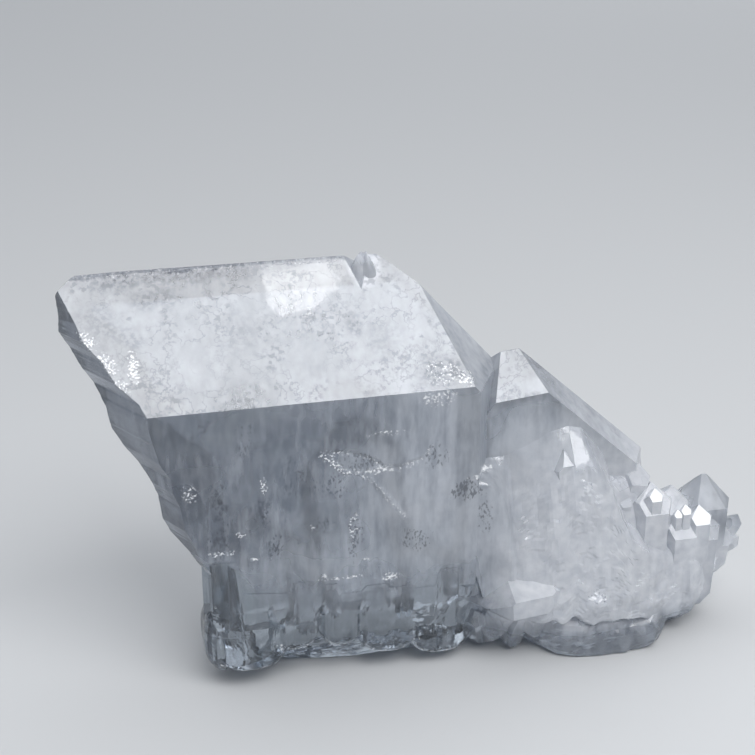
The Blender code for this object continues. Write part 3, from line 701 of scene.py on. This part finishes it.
def little_crystals():
    """The rows of little crystals: each row's name, ends, count, radii, rolls, pitches and seed."""
    rows = (
        ("flank", (67.0, 6.0, 11.5), (58.0, 4.0, 3.5), 8, (0.8, 1.4), (-75, -35), (-15, 20), 21),
        ("ribs", (49.0, 1.6, 7.5), (61.0, 3.6, 8.5), 9, (1.0, 1.7), (-8, 8), (-6, 8), 25),
        ("crest", (47.5, 3.4, 20.5), (60.5, 4.4, 16.0), 8, (0.7, 1.3), (-14, 8), (-10, 10), 26),
        ("back_row", (-9.0, 14.5, 5.0), (44.0, 16.0, 5.0), 13, (1.5, 2.6), (-15, 20), (5, 35), 22),
        ("back_high", (38.0, 15.5, 13.0), (56.0, 10.5, 12.0), 6, (1.5, 2.4), (-25, 5), (5, 30), 23),
        ("front_row", (24.0, 2.5, 4.5), (42.0, -1.0, 5.0), 6, (1.2, 2.0), (-15, 20), (-30, -10), 24),
    )
    return [made for row in rows for made in druse(*row)]


def floor_block(size=200.0):
    """The block under the resting surface that cuts the cluster's foot flat."""
    mesh = bpy.data.meshes.new("floor_block")
    work = bmesh.new()
    bmesh.ops.create_cube(work, size=size * MM, matrix=Matrix.Translation((0, 0, -size / 2 * MM)))
    work.to_mesh(mesh)
    work.free()
    return in_scene("floor_block", mesh)


def joined(pieces, notch, floor):
    """One closed skin: the main crystal less its notch, joined with the others, less what is under the floor.

    The exact solver leaves open edges where the curtains cross the others, and the Manifold one doesn't.
    """
    skin, others = pieces[0], pieces[1:]
    steps = [("DIFFERENCE", notch)] + [("UNION", other) for other in others] + [("DIFFERENCE", floor)]
    for operation, other in steps:
        boolean = skin.modifiers.new(other.name, "BOOLEAN")
        boolean.operation = operation
        boolean.solver = "MANIFOLD"
        boolean.object = other
    depsgraph = bpy.context.evaluated_depsgraph_get()
    result = in_scene("quartz_skin", bpy.data.meshes.new_from_object(skin.evaluated_get(depsgraph)))
    for item in [skin, notch, floor] + others:
        bpy.data.objects.remove(item)
    return result


# --- what varies over the skin
def rows_of(items, name):
    """The three numbers of each vertex or face, as rows."""
    values = np.empty(len(items) * 3)
    items.foreach_get(name, values)
    return values.reshape(-1, 3)


def spotted(places, spots, ragged_edge):
    """How strongly each place lies in any of some soft ovals over X and height, with ragged edges."""
    shift = ragged_edge * layered_noise(places, 1.6, seed=35)
    strength = np.zeros(len(places))
    for spot in spots:
        away = np.hypot((places[:, 0] - spot.x) / spot.wide, (places[:, 2] - spot.z) / spot.high) + shift
        strength = np.maximum(strength, spot.strength * (1 - eased(away, 0.3, 1.4)))
    return strength


def clear_tips(places):
    """1 in the clear tips at the right-hand end, and 0 away from them."""
    x, _, z = places.T
    return eased(x + 0.6 * z, 69.0, 74.0) * eased(z, 12.0, 18.0)


def milkiness(places):
    """How cloudy the quartz is at each place.

    The right-hand mass is milky, the main and second crystals are hazy, more so to the right, and the stubs
    and the right-hand tips clear. Between two stubs the haze reaches down.
    """
    x, y, z = places.T
    cloud = layered_noise(places, 9.0, seed=31)
    mass = eased(x + 1.5 * cloud + 0.15 * (20 - z), 23.0, 33.0) * (1 - eased(z + 2.0 * cloud, 24.0, 40.0))
    mass = mass * (1 - 0.75 * (1 - eased(z, 2.0, 6.5)))
    between = eased(np.min([aside(x, stub) for stub in STUBS], axis=0), 0.6, 1.0)
    low = 1 - eased(z + 1.5 * cloud - 3.0 * between, 6.0, 18.5)
    left_corner = eased(-11.9 + (21.1 - z) * 0.62 - x, -0.6, 0.6) * (1 - eased(z, 21.3, 22.0))
    haze = 0.48 + 0.14 * cloud + 0.12 * eased(x, -8.0, 20.0) - 0.05 * eased(z, 34.0, 42.0)
    haze = haze + 0.12 * (1 - eased(np.abs(z - 19.0), 0.0, 5.0))
    haze = haze * (1 - 0.8 * np.maximum(low, left_corner))
    notch_tip = (1 - eased(np.hypot(x - 9.9, y - 12.2), 2.0, 2.8)) * eased(z, 52.0, 56.0)
    haze = haze + 0.35 * notch_tip
    return np.clip(haze + (0.9 - haze) * mass * (1 - 0.9 * clear_tips(places)), 0, 1)


def crack_painted_glints(places):
    """How strongly a painted glint runs along the healed crack's two edges at each place of the front face.
    """
    fade = 0.9 - 0.35 * eased(places[:, 0], 7.0, 9.0)
    lower = fade * np.exp(-(line_distance(places, CRACK_LOWER) / 0.34) ** 2)
    upper = 0.7 * np.exp(-(line_distance(places, CRACK_UPPER) / 0.40) ** 2)
    return np.maximum(lower, upper) * (0.7 + 0.5 * value_noise(places, 1.3, seed=36))


def painted_stub_rims(places):
    """How strongly a painted highlight lies on the rim round each stub's lower end at each place."""
    x, y, z = places.T
    painted_highlight = np.zeros(len(places))
    # painted highlight along the lower rim of each stub, where light comes through it
    for stub in STUBS:
        rim = np.exp(-((z - stub_rim(x, stub) - 0.7) / 0.4) ** 2)
        painted_highlight = np.maximum(painted_highlight, rim * (1 - eased(aside(x, stub), 0.8, 1.0)))
    return 0.85 * painted_highlight * (1 - eased(y, 2.5, 3.5)) * (0.75 + 0.35 * value_noise(places, 1.8, seed=38))


def paleness(places):
    """How light the haze is at each place: darker at the middle left, lighter at the right and over stubs,
    and at the right-hand end painted shade, darker in the ribs' grooves and lighter on their crests.
    """
    x, _, z = places.T
    pale = 0.42 + 0.22 * layered_noise(places, 11.0, seed=37) + 0.42 * eased(x, -4.0, 18.0)
    pale -= 0.20 * np.exp(-((x + 9.0) / 9.0) ** 2 - ((z - 31.0) / 7.0) ** 2)
    pale += 0.15 * (1 - eased(np.abs(z - 21.5), 0.0, 3.5)) - 0.15 * (1 - eased(z, 12.0, 18.0))
    # painted shade: the same noise as the ribs' relief, so the grooves are darker and the crests lighter
    level = places * (1, 0, 1)
    coarse_rib_painted_shade = value_noise(level * (1, 1, 0.12), 1.5, seed=62)
    fine_rib_painted_shade = 0.7 * value_noise(level * (1, 1, 0.2), 0.8, seed=63)
    return pale + 0.30 * eased(x, 38.0, 48.0) * (coarse_rib_painted_shade + fine_rib_painted_shade)


def specks_and_painted_glints(places):
    """The specks at each place on or just behind the front faces, and the painted glints there, with the
    stubs' painted rim highlights.
    """
    front = 1 - eased(places[:, 1] - 2.5 * eased(places[:, 0], 22.0, 24.0), 0.3, 0.9)
    # painted highlights: white glints where veils, ledges and the crack's edges catch the light
    painted_glints = np.maximum(spotted(places, PAINTED_GLINTS, 0.15), crack_painted_glints(places)) * front
    return spotted(places, SPECKS, 0.35) * front, np.maximum(painted_glints, painted_stub_rims(places))


def big_slope_marks(places):
    """The chips and the dulled patches at each place on the big sloping face, with the ridge's few chips."""
    slope = 1 - eased(np.abs(places[:, 1] - (places[:, 2] - MAIN_CAPS[0]) * DRAW_IN), 0.3, 0.9)
    ridge = 0.12 * eased(places[:, 2], 60.2, 60.8) * eased(8.0 - places[:, 0], 0.0, 1.0)
    return np.maximum(spotted(places, CHIPS, 0.3) * slope, ridge), spotted(places, DULLED, 0.3) * slope


def face_finish(centres, normals):
    """How etched each face is, and how strongly it carries a painted highlight.

    The sloping faces that look to the front are etched, less so at the right-hand end, and the others
    faintly; the ridge is frosted. The painted highlight goes on the sloping facets near the front in the
    listed glitter spots, and they are given the etched faces' frosted white as well.
    """
    slopes = np.column_stack((OUTWARD * np.sin(INCLINE), np.full(6, np.cos(INCLINE))))
    facing = normals @ slopes.T
    etched = eased(facing[:, 0], 0.975, 0.99) * (1 - 0.8 * eased(centres[:, 0], 47.0, 49.0))
    etched = np.maximum(etched, 0.3 * eased(facing.max(axis=1), 0.975, 0.99))
    etched = etched * (1 - 0.85 * clear_tips(centres))
    etched = np.maximum(etched, 0.9 * eased(centres[:, 2], 60.3, 60.7))
    # painted highlight: the glittering facets turn near-white, and the etch takes it up too
    painted_highlight = eased(facing[:, 0], 0.9965, 0.998) * spotted(centres, PAINTED_GLITTER, 0.0)
    painted_highlight = painted_highlight * (1 - eased(centres[:, 1], 1.6, 1.9))
    return np.maximum(etched, painted_highlight), painted_highlight


def add_attribute(mesh, name, values, domain):
    """Store a number for each vertex or face, for the material to read."""
    attribute = mesh.attributes.new(name, "FLOAT", domain)
    attribute.data.foreach_set("value", values.astype(np.float32))


def store_variation(mesh):
    """Everything that varies over the skin, as attributes of its mesh."""
    places = rows_of(mesh.vertices, "co") / MM + DESIGN_CENTRE
    centres = rows_of(mesh.polygons, "center") / MM + DESIGN_CENTRE
    normals = rows_of(mesh.polygons, "normal")
    specks, painted_glints = specks_and_painted_glints(places)
    chips, dulled = big_slope_marks(places)
    etch_and_painted_glint, painted_highlight = face_finish(centres, normals)
    # The glints on the front and the stubs' rims are painted highlights; the rest here is the quartz's own
    # variation.
    for name, values in (("milk", milkiness(places)), ("pale", paleness(places)), ("specks", specks),
                         ("painted_glints", painted_glints), ("chips", chips), ("dulled", dulled)):
        add_attribute(mesh, name, values, "POINT")
    # The face values hold the etching and, on the glittering facets, a painted highlight.
    add_attribute(mesh, "etch_and_painted_glint", etch_and_painted_glint, "FACE")
    add_attribute(mesh, "painted_highlight", painted_highlight, "FACE")


# --- materials
class Mixer:
    """Short ways to add nodes to one material. Each gives the output to go on with."""

    def __init__(self, material):
        self.nodes = material.node_tree.nodes
        self.links = material.node_tree.links
        self.where = self.nodes.new("ShaderNodeTexCoord").outputs["Object"]

    def feed(self, value, socket):
        """Link an output to a socket, or set the socket to a plain number or colour."""
        if isinstance(value, (int, float, tuple)):
            socket.default_value = value
        else:
            self.links.new(value, socket)

    def attribute(self, name):
        """A number that the mesh carries."""
        node = self.nodes.new("ShaderNodeAttribute")
        node.attribute_name = name
        return node.outputs["Fac"]

    def noise(self, size, detail, squeeze=(1, 1, 1)):
        """Noise of a size in millimetres; a squeeze under 1 draws it out along that axis."""
        mapping = self.nodes.new("ShaderNodeMapping")
        mapping.inputs["Scale"].default_value = [part / (size * MM) for part in squeeze]
        self.feed(self.where, mapping.inputs["Vector"])
        node = self.nodes.new("ShaderNodeTexNoise")
        node.inputs["Scale"].default_value = 1.0
        node.inputs["Detail"].default_value = detail
        self.feed(mapping.outputs["Vector"], node.inputs["Vector"])
        return node.outputs["Fac"]

    def ranged(self, value, low, high, start=0.0, end=1.0):
        """A value that runs from low to high, made to run from start to end and held there."""
        node = self.nodes.new("ShaderNodeMapRange")
        for name, number in (("From Min", low), ("From Max", high), ("To Min", start), ("To Max", end)):
            node.inputs[name].default_value = number
        self.feed(value, node.inputs["Value"])
        return node.outputs["Result"]

    def math(self, operation, *values):
        """One sum on one or two values."""
        node = self.nodes.new("ShaderNodeMath")
        node.operation = operation
        for value, socket in zip(values, node.inputs):
            self.feed(value, socket)
        return node.outputs["Value"]

    def times(self, first, second):
        """The product of two values."""
        return self.math("MULTIPLY", first, second)

    def plus(self, first, second):
        """The sum of two values."""
        return self.math("ADD", first, second)

    def most(self, first, second):
        """The greater of two values."""
        return self.math("MAXIMUM", first, second)

    def blend(self, amount, first, second):
        """From the first colour to the second, by an amount."""
        node = self.nodes.new("ShaderNodeMix")
        node.data_type = "RGBA"
        for name, value in (("Factor", amount), ("A", first), ("B", second)):
            self.feed(value, next(item for item in node.inputs if item.name == name and item.enabled))
        return next(item for item in node.outputs if item.enabled)

    def scattered(self, amount, grain):
        """Spots of a grain that stand closer together as the amount rises."""
        spots = self.ranged(self.plus(grain, self.times(amount, 0.15)), 0.58, 0.70)
        return self.times(spots, self.ranged(amount, 0.03, 0.2))


def etched_map(mix, etch_and_painted_glint):
    """The marks on the etched faces: thin winding lines, patches of fine pits, and grainy dulled patches."""
    middle = mix.math("ABSOLUTE", mix.math("SUBTRACT", mix.noise(1.7, 7.0), 0.5))
    winding = mix.ranged(middle, 0.0, 0.035, 1.0, 0.0)
    winding = mix.times(winding, mix.ranged(mix.noise(7.0, 4.0), 0.44, 0.58))
    pits = mix.ranged(mix.noise(0.75, 5.0), 0.48, 0.60)
    patches = mix.times(pits, mix.ranged(mix.noise(5.0, 7.0), 0.49, 0.58, 0.08, 1.0))
    dull = mix.times(mix.ranged(mix.noise(0.6, 6.0), 0.40, 0.58, 0.35, 1.0), mix.attribute("dulled"))
    fine = mix.most(mix.times(winding, 0.55), mix.times(patches, 0.55))
    return mix.times(etch_and_painted_glint, mix.most(fine, mix.times(dull, 0.9)))


def hazy_colour(mix, haze, streaks):
    """From the clear tint through a streaky grey haze to the veiled white of the milky mass, by the haze."""
    pale = mix.attribute("pale")
    short = mix.ranged(mix.noise(0.8, 5.0, (1, 1, 0.35)), 0.35, 0.65, -0.5, 0.5)
    light = mix.plus(mix.plus(pale, mix.times(streaks, 0.28)), mix.times(short, 0.40))
    veils = mix.times(mix.ranged(mix.noise(1.5, 8.0), 0.34, 0.66), 0.6)
    milky = mix.blend(mix.plus(veils, mix.times(pale, 0.4)), DARK_MILK, LIGHT_MILK)
    hazy = mix.blend(light, DARK_HAZE, LIGHT_HAZE)
    colour = mix.blend(mix.ranged(haze, 0.0, 0.45), CLEAR_TINT, hazy)
    return mix.blend(mix.ranged(haze, 0.55, 0.9), colour, milky)


def chips_and_painted_highlights(mix):
    """The painted glints of the little veils and the stubs' rims, the frosted chips, and the painted
    highlights of the facets that glitter.
    """
    painted_glints = mix.attribute("painted_glints")
    painted_glint = mix.most(mix.scattered(painted_glints, mix.noise(0.32, 4.0)), mix.ranged(painted_glints, 0.84, 0.95))
    chipped = mix.scattered(mix.attribute("chips"), mix.noise(0.32, 5.0))
    return mix.most(mix.most(painted_glint, chipped), mix.times(mix.attribute("painted_highlight"), 0.9))


def quartz_material():
    """Clear quartz with a cool tint, milky by its attribute, and frosted where its faces are etched, with
    painted white highlights on its glints, the stubs' rims and the glittering facets.
    """
    material = bpy.data.materials.new("clear_quartz")
    material.use_nodes = True
    mix = Mixer(material)
    surface = mix.nodes["Principled BSDF"]
    surface.inputs["IOR"].default_value = QUARTZ_IOR
    milk, etch_and_painted_glint = mix.attribute("milk"), mix.attribute("etch_and_painted_glint")
    streaks = mix.ranged(mix.noise(1.3, 5.0, (1, 1, 0.14)), 0.33, 0.67, -0.5, 0.5)
    haze = mix.plus(milk, mix.times(mix.times(streaks, 0.25), mix.math("SUBTRACT", 1.0, milk)))
    haze = mix.plus(haze, mix.times(etch_and_painted_glint, 0.10))
    mottle = etched_map(mix, etch_and_painted_glint)
    speck = mix.scattered(mix.attribute("specks"), mix.noise(0.34, 3.0, (1, 1, 0.55)))
    frost_and_painted_highlights = chips_and_painted_highlights(mix)

    colour = mix.blend(etch_and_painted_glint, hazy_colour(mix, haze, streaks), FROST)
    colour = mix.blend(mottle, colour, MOTTLE)
    colour = mix.blend(mix.times(speck, 0.7), colour, SPECK)
    # painted highlights and frosted chips: near-white, and less see-through below
    colour = mix.blend(frost_and_painted_highlights, colour, FROST_AND_HIGHLIGHT_WHITE)
    clear = mix.times(mix.ranged(haze, 0.0, 1.0, 1.0, 0.25), mix.ranged(frost_and_painted_highlights, 0.0, 1.0, 1.0, 0.15))
    rough = mix.plus(mix.ranged(milk, 0.1, 0.6, 0.06, 0.30), mix.times(etch_and_painted_glint, -0.22))
    rough = mix.plus(rough, mix.times(mottle, 0.20))
    for name, value in (("Base Color", colour), ("Transmission Weight", clear), ("Roughness", rough)):
        mix.feed(value, surface.inputs[name])

    inside = mix.nodes.new("ShaderNodeVolumeAbsorption")
    inside.inputs["Color"].default_value = INNER_TINT
    inside.inputs["Density"].default_value = ABSORPTION
    mix.feed(inside.outputs["Volume"], mix.nodes["Material Output"].inputs["Volume"])
    return material


def plain_material(name, colour, roughness):
    """An opaque matt material of one colour."""
    material = bpy.data.materials.new(name)
    material.use_nodes = True
    surface = material.node_tree.nodes["Principled BSDF"]
    surface.inputs["Base Color"].default_value = (*colour, 1)
    surface.inputs["Roughness"].default_value = roughness
    return material


# --- the studio
def area_light(name, place, aim, size, power, colour):
    """A soft rectangular light at place that shines at aim."""
    light = bpy.data.lights.new(name, "AREA")
    light.shape = "RECTANGLE"
    light.size, light.size_y = size
    light.energy = power
    light.color = colour
    item = in_scene(name, light)
    item.location = place
    item.rotation_euler = (Vector(aim) - Vector(place)).to_track_quat("-Z", "Y").to_euler()


def studio():
    """A wide pale floor, a softbox and a small window over the sloping faces, fills and a grey surround."""
    bpy.ops.mesh.primitive_plane_add(size=8.0, location=(0, 0, -0.0002))
    floor = bpy.context.object
    floor.name = "studio_floor"
    floor.data.materials.append(plain_material("pale_floor", FLOOR_GREY, 0.85))
    for light in LIGHTS:
        area_light(*light)
    world = bpy.data.worlds.new("surround")
    bpy.context.scene.world = world
    world.use_nodes = True
    surround = world.node_tree.nodes["Background"]
    surround.inputs["Color"].default_value = SURROUND_GREY
    surround.inputs["Strength"].default_value = SURROUND_STRENGTH


def camera():
    """The camera, in front of the cluster and a little over it."""
    data = bpy.data.cameras.new("camera")
    data.lens = LENS
    data.sensor_width = SENSOR_WIDTH
    data.clip_start = 0.005
    item = in_scene("camera", data)
    item.location = CAMERA_PLACE
    item.rotation_euler = np.radians(CAMERA_TURN)
    bpy.context.scene.camera = item


def quartz_cluster():
    """The finished cluster: the joined skin with what varies over it and its material."""
    pieces = (large_crystals() + front_masses() + right_end() + lower_stubs() + back_crystals()
              + little_crystals())
    skin = joined(pieces, notch_cutter(), floor_block())
    store_variation(skin.data)
    skin.data.materials.clear()
    skin.data.materials.append(quartz_material())
    skin.data.shade_flat()
    skin.name = "quartz_cluster_skin"
    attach(skin, "root")
    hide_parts("quartz_cluster")


quartz_cluster()
studio()
camera()
scene = bpy.context.scene
scene.view_settings.view_transform = "Standard"
scene.cycles.use_denoising = True
